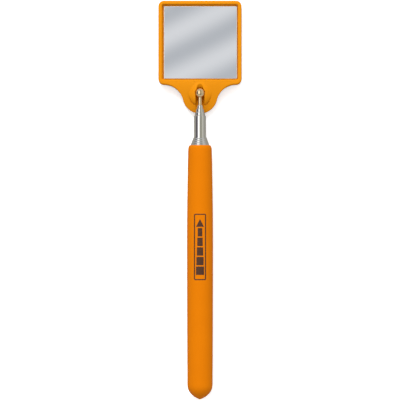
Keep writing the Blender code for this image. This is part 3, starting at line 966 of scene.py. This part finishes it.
@material_once
def silvered_glass():
    made, tree, shader = new_material("silvered_glass", Metallic=1.0)
    colours = (0.90, 0.91, 0.92), (0.88, 0.89, 0.91)
    finish_surface(tree, shader, colours, (0.01, 0.03), 0.0, fine=300.0, broad=40.0)
    return made


@material_once
def ground_edge():
    made, tree, shader = new_material("ground_glass_edge", Specular_IOR_Level=0.5)
    colours = (0.92, 0.90, 0.84), (0.84, 0.84, 0.78)
    finish_surface(tree, shader, colours, (0.35, 0.55), 0.01 * MM, fine=5000.0, broad=900.0)
    return made


@material_once
def printing_ink():
    """Dark ink, worn browner in places."""
    made, tree, shader = new_material("printing_ink", Specular_IOR_Level=0.3)
    colours = (0.035, 0.016, 0.010), (0.10, 0.035, 0.012)
    finish_surface(tree, shader, colours, (0.45, 0.6), 0.01 * MM, fine=1800.0, broad=700.0)
    return made


@material_once
def sprung_brass():
    made, tree, shader = new_material("sprung_brass", Metallic=1.0)
    colours = (0.75, 0.56, 0.24), (0.66, 0.46, 0.18)
    gloss = (0.22, 0.38)
    finish_surface(tree, shader, colours, gloss, 0.004 * MM, fine=2500.0, broad=300.0, stretch=0.1)
    return made


@material_once
def natural_nylon():
    made, tree, shader = new_material("natural_nylon")
    colours = (0.80, 0.79, 0.74), (0.74, 0.72, 0.66)
    finish_surface(tree, shader, colours, (0.4, 0.55), 0.01 * MM)
    return made


@material_once
def black_plastic():
    made, tree, shader = new_material("black_plastic")
    colours = (0.03, 0.03, 0.03), (0.05, 0.05, 0.05)
    finish_surface(tree, shader, colours, (0.4, 0.55), 0.01 * MM)
    return made


@material_once
def foam():
    made, tree, shader = new_material("foam")
    colours = (0.08, 0.08, 0.08), (0.14, 0.14, 0.14)
    finish_surface(tree, shader, colours, (0.85, 0.95), 0.1 * MM, fine=1500.0, broad=500.0)
    return made


def stand_in(piece, node, body, material):
    """A piece that stands for a CAD node, with its material and its body."""
    piece.data.materials.clear()
    piece.data.materials.append(material)
    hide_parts(node)
    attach(piece, body)


def dress_inner_parts():
    """Better materials for the CAD parts inside, which keep their shapes."""
    finishes = {
        "end_plug": black_plastic(),
        "slide_bush": natural_nylon(),
        "stud_bush": sprung_brass(),
        "adhesive_pad": foam(),
    }
    for number in range(2, TUBE_COUNT + 1):
        for side in "ab":
            finishes[f"friction_shell_{number}{side}"] = sprung_brass()
    for node, material in finishes.items():
        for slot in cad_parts[node].material_slots:
            slot.material = material


# ---- Studio -------------------------------------------------------------------------------------

def make_camera():
    """A long lens straight above the middle of the tool, with the mirror at the top."""
    low, high = cad_box
    data = bpy.data.cameras.new("camera")
    data.lens = CAMERA_LENS
    data.sensor_width = CAMERA_SENSOR
    camera = bpy.data.objects.new("camera", data)
    bpy.context.scene.collection.objects.link(camera)
    distance = (high.y - low.y) * PICTURE_MARGIN * CAMERA_LENS / CAMERA_SENSOR
    camera.location = ((low.x + high.x) / 2, (low.y + high.y) / 2, BALL.z + RIM_LEVEL + distance)
    data.clip_start = 0.01
    data.clip_end = 100
    bpy.context.scene.camera = camera


def make_floor():
    """White to the camera, grey in reflections, and too dim to light the tool from below."""
    start_fresh()
    bpy.ops.mesh.primitive_plane_add(size=FLOOR_SIZE)
    floor = named("floor")
    made, tree, shader = new_material("white_floor", Specular_IOR_Level=0.0, Roughness=1.0)
    rays = add(tree, "ShaderNodeLightPath")
    white = blend_colours(tree, rays.outputs["Is Diffuse Ray"], FLOOR_WHITE, FLOOR_BOUNCE)
    white = blend_colours(tree, rays.outputs["Is Glossy Ray"], white, FLOOR_REFLECTED)
    glow = maths(tree, "MULTIPLY", rays.outputs["Is Camera Ray"], FLOOR_GLOW)
    glow = blend_colours(tree, glow, (0, 0, 0, 1), (1, 1, 1, 1))
    feed(tree, shader, {"Base Color": white, "Emission Color": glow, "Emission Strength": 1.0})
    floor.data.materials.append(made)


def make_sky_card():
    """A card over the mirror, seen only in reflections, with broad soft slanting bands."""
    start_fresh()
    bpy.ops.mesh.primitive_plane_add(size=CARD_SIZE, location=(0.0, CARD_MIDDLE, CARD_HEIGHT))
    card = named("sky_card")
    card.visible_camera = False
    card.visible_diffuse = False
    card.visible_shadow = False
    card.visible_transmission = False
    made = bpy.data.materials.new("sky_bands")
    made.use_nodes = True
    tree = made.node_tree
    tree.nodes.clear()
    place = add(tree, "ShaderNodeTexCoord").outputs["Object"]
    turn = add(tree, "ShaderNodeMapping", {"Vector": place, "Rotation": (0, 0, CARD_TURN)})
    bands = add(tree, "ShaderNodeTexWave", {
        "Vector": turn.outputs["Vector"],
        "Scale": CARD_SCALE,
        "Distortion": 1.0,
        "Detail": 1.0,
        "Detail Scale": 0.8,
        "Phase Offset": CARD_PHASE,
    })
    colour = blend_colours(tree, bands.outputs["Fac"], CARD_DARK, CARD_LIGHT)
    glow = add(tree, "ShaderNodeEmission", {"Color": colour, "Strength": 1.0})
    out = add(tree, "ShaderNodeOutputMaterial")
    tree.links.new(glow.outputs["Emission"], out.inputs["Surface"])
    card.data.materials.append(made)


def eased(tree, value, fade, low=0.0, high=1.0):
    """A smooth step from low to high, while a value goes from one end of the fade to the other."""
    made = add(tree, "ShaderNodeMapRange", interpolation_type="SMOOTHSTEP")
    feed(tree, made, {"Value": value, "From Min": fade[0], "From Max": fade[1]})
    feed(tree, made, {"To Min": low, "To Max": high})
    return made.outputs["Result"]


def reflected_studio(tree, parts, height):
    """What chrome and glass see: a dark side, a bright strip and a grey side, laid out by the angle
    about the shaft, darker towards the shaft's ends and with light walls low down there."""
    angle = maths(tree, "ARCTAN2", parts.outputs["X"], parts.outputs["Z"])
    share = maths(tree, "ADD", maths(tree, "DIVIDE", angle, math.tau), 0.5)
    ramp = add(tree, "ShaderNodeValToRGB", {"Fac": share})
    points = ramp.color_ramp.elements
    while len(points) < len(STUDIO_AROUND):
        points.new(0.5)
    for point, (degrees, colour) in zip(points, STUDIO_AROUND):
        point.position = degrees / 360 + 0.5
        point.color = (*colour, 1)
    along = parts.outputs["Y"]
    beyond = maths(tree, "ABSOLUTE", maths(tree, "SUBTRACT", along, ENDS_MIDDLE))
    ends = eased(tree, beyond, ENDS_FADE, high=ENDS_SHARE)
    around = blend_colours(tree, ends, ramp.outputs["Color"], STUDIO_ENDS)
    low = eased(tree, height, WALLS_FADE_UP, low=1.0, high=0.0)
    endwise = eased(tree, maths(tree, "ABSOLUTE", along), WALLS_FADE_ALONG)
    walls = maths(tree, "MULTIPLY", maths(tree, "MULTIPLY", low, endwise), WALLS_SHARE)
    return blend_colours(tree, walls, around, STUDIO_WALLS)


def make_world():
    """Soft light from above, stronger on the mirror's side, and another studio in reflections."""
    world = bpy.data.worlds.new("studio")
    bpy.context.scene.world = world
    world.use_nodes = True
    tree = world.node_tree
    tree.nodes.clear()
    direction = add(tree, "ShaderNodeTexCoord").outputs["Generated"]
    parts = add(tree, "ShaderNodeSeparateXYZ", {"Vector": direction})
    height = maths(tree, "ABSOLUTE", parts.outputs["Z"])
    around = reflected_studio(tree, parts, height)
    lean = maths(tree, "MULTIPLY", parts.outputs["Y"], SKY_LEAN)
    sky = blend_colours(tree, maths(tree, "ADD", height, lean), SKY_HORIZON, SKY_ZENITH)
    rays = add(tree, "ShaderNodeLightPath")
    colour = blend_colours(tree, rays.outputs["Is Glossy Ray"], sky, around)
    colour = blend_colours(tree, rays.outputs["Is Camera Ray"], colour, SKY_SEEN)
    background = add(tree, "ShaderNodeBackground", {"Color": colour, "Strength": 1.0})
    out = add(tree, "ShaderNodeOutputWorld")
    tree.links.new(background.outputs["Background"], out.inputs["Surface"])


def make_key_lamp():
    """A soft square lamp, aimed at the tool, that isn't seen in reflections."""
    data = bpy.data.lights.new("key_lamp", "AREA")
    data.size = KEY_SIZE
    data.energy = KEY_POWER
    lamp = bpy.data.objects.new("key_lamp", data)
    bpy.context.scene.collection.objects.link(lamp)
    lamp.location = KEY_PLACE
    lamp.rotation_euler = (-Vector(KEY_PLACE)).to_track_quat("-Z", "Y").to_euler()
    lamp.visible_glossy = False


make_camera()
bpy.context.scene.view_settings.view_transform = "Standard"
make_world()
make_key_lamp()
make_floor()
make_sky_card()

grip = make_grip()
make_handle_tube()
for number in range(1, TUBE_COUNT + 1):
    make_sliding_tube(number)
make_ball_stud()
make_head_frame()
make_glass()
make_print(grip)
dress_inner_parts()
